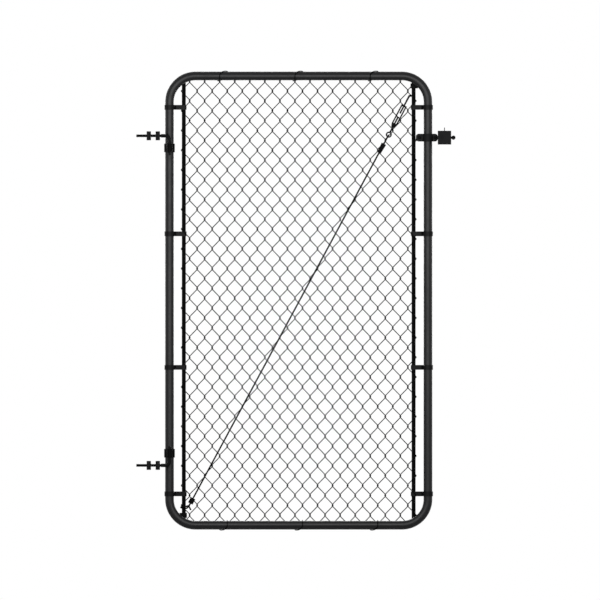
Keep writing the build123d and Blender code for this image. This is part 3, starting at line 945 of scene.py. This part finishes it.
def area_light(name, place, target, width, height, power):
    """A soft rectangular lamp aimed at a target."""
    data = bpy.data.lights.new(name, "AREA")
    data.shape = "RECTANGLE"
    data.size = width
    data.size_y = height
    data.energy = power
    lamp = bpy.data.objects.new(name, data)
    lamp.location = place
    lamp.rotation_mode = "QUATERNION"
    lamp.rotation_quaternion = (Vector(target) - Vector(place)).to_track_quat("-Z", "Y")
    bpy.context.scene.collection.objects.link(lamp)


def studio():
    """Pale floor under the gate, white surroundings and soft lamps."""
    raised = Vector((view_centre_x, rail_y, view_centre_z + lamp_rise))
    for name, way in (("front", -1), ("back", 1)):
        place = raised + Vector((0, way * main_lamp_distance, 0))
        area_light(name, place, raised, main_lamp_width, main_lamp_height, main_lamp_power)
    for name, way in (("left", -1), ("right", 1)):
        place = raised + Vector((way * side_lamp_distance, 0, 0))
        area_light(name, place, raised, side_lamp_width, side_lamp_height, side_lamp_power)
    floor_at(bottom_rail_low.z - floor_drop)
    surroundings()


def floor_at(height):
    """A round pale floor that fades into the white surroundings away from the gate."""
    turns = [tau * side / floor_sides for side in range(floor_sides)]
    points = [Vector((cos(turn), sin(turn), 0)) * floor_radius for turn in turns]
    mesh = bpy.data.meshes.new("floor")
    mesh.from_pydata(points, [], [list(range(floor_sides))])
    material, shader = principled("floor")
    tree = material.node_tree
    uneven = noise(tree, floor_tone_scale, floor_tone_detail)
    tree.links.new(two_tones(tree, uneven, floor_dark, floor_pale), shader.inputs["Base Color"])
    shader.inputs["Roughness"].default_value = floor_roughness
    fade_to_white(tree, shader)
    mesh.materials.append(material)
    floor = bpy.data.objects.new("floor", mesh)
    floor.location = (view_centre_x, rail_y, height)
    bpy.context.scene.collection.objects.link(floor)


def fade_to_white(tree, shader):
    """Turn a floor white with distance, for the rays that also see the white surroundings."""
    place = tree.nodes.new("ShaderNodeTexCoord")
    distance = tree.nodes.new("ShaderNodeVectorMath")
    distance.operation = "LENGTH"
    fade = tree.nodes.new("ShaderNodeMapRange")
    fade.interpolation_type = "SMOOTHSTEP"
    fade.inputs["From Min"].default_value = fade_start
    fade.inputs["From Max"].default_value = fade_end
    share = tree.nodes.new("ShaderNodeMath")
    share.operation = "MULTIPLY"
    glow = tree.nodes.new("ShaderNodeEmission")
    glow.inputs["Color"].default_value = white
    mix = tree.nodes.new("ShaderNodeMixShader")
    tree.links.new(place.outputs["Object"], distance.inputs[0])
    tree.links.new(distance.outputs["Value"], fade.inputs["Value"])
    tree.links.new(fade.outputs["Result"], share.inputs[0])
    tree.links.new(seen_rays(tree), share.inputs[1])
    tree.links.new(share.outputs[0], mix.inputs["Fac"])
    tree.links.new(shader.outputs[0], mix.inputs[1])
    tree.links.new(glow.outputs[0], mix.inputs[2])
    tree.links.new(mix.outputs[0], tree.nodes["Material Output"].inputs["Surface"])


def seen_rays(tree):
    """1 for the rays of the camera, of reflections and of clear materials, otherwise 0."""
    path = tree.nodes.new("ShaderNodeLightPath")
    seen = path.outputs["Is Camera Ray"]
    for other in ("Is Glossy Ray", "Is Transmission Ray"):
        most = tree.nodes.new("ShaderNodeMath")
        most.operation = "MAXIMUM"
        tree.links.new(seen, most.inputs[0])
        tree.links.new(path.outputs[other], most.inputs[1])
        seen = most.outputs[0]
    return seen


def surroundings():
    """White to the camera and in reflections, and a plain soft grey light on the object."""
    world = bpy.data.worlds.new("surroundings")
    bpy.context.scene.world = world
    world.use_nodes = True
    tree = world.node_tree
    tree.nodes.clear()
    seen = tree.nodes.new("ShaderNodeBackground")
    seen.inputs["Color"].default_value = white
    soft = tree.nodes.new("ShaderNodeBackground")
    soft.inputs["Color"].default_value = soft_grey
    mix = tree.nodes.new("ShaderNodeMixShader")
    out = tree.nodes.new("ShaderNodeOutputWorld")
    tree.links.new(seen_rays(tree), mix.inputs["Fac"])
    tree.links.new(soft.outputs[0], mix.inputs[1])
    tree.links.new(seen.outputs[0], mix.inputs[2])
    tree.links.new(mix.outputs[0], out.inputs["Surface"])
    bpy.context.scene.view_settings.view_transform = "Standard"


frame_tubes = [
    "hinge_stile",
    "latch_stile",
    "bottom_rail",
    "top_rail",
    "hinge_bottom_corner",
    "latch_bottom_corner",
    "hinge_top_corner",
    "latch_top_corner",
]
repaint(frame_paint, *frame_tubes)
repaint(band_paint, "hinge_side_bands", "latch_side_bands")
repaint(bar_paint, "hinge_tension_bar", "latch_tension_bar")
for end in ("lower", "upper"):
    repaint(bolt_paint, f"{end}_hinge_clamp", f"{end}_clamp_bolt", f"{end}_clamp_nut")
    repaint(hook_paint, f"{end}_hook_nuts", f"{end}_hook_washers")
repaint(fitting_paint, "front_latch_collar", "back_latch_collar", "latch_fork")
repaint(bolt_paint, "latch_collar_bolts", "latch_collar_nuts", "latch_fork_knobs", "latch_lift_pin")
repaint(truss_paint, "upper_ferrule", "lower_cable_clip", "turnbuckle_body")
repaint(truss_paint, "bottom_corner_clip", "top_corner_clip")

camera()
studio()
mesh_wires()
tie_wires()
truss_cable()
eye_rod()
hook_rod()
hinge_hook("lower", 1)
hinge_hook("upper", -1)
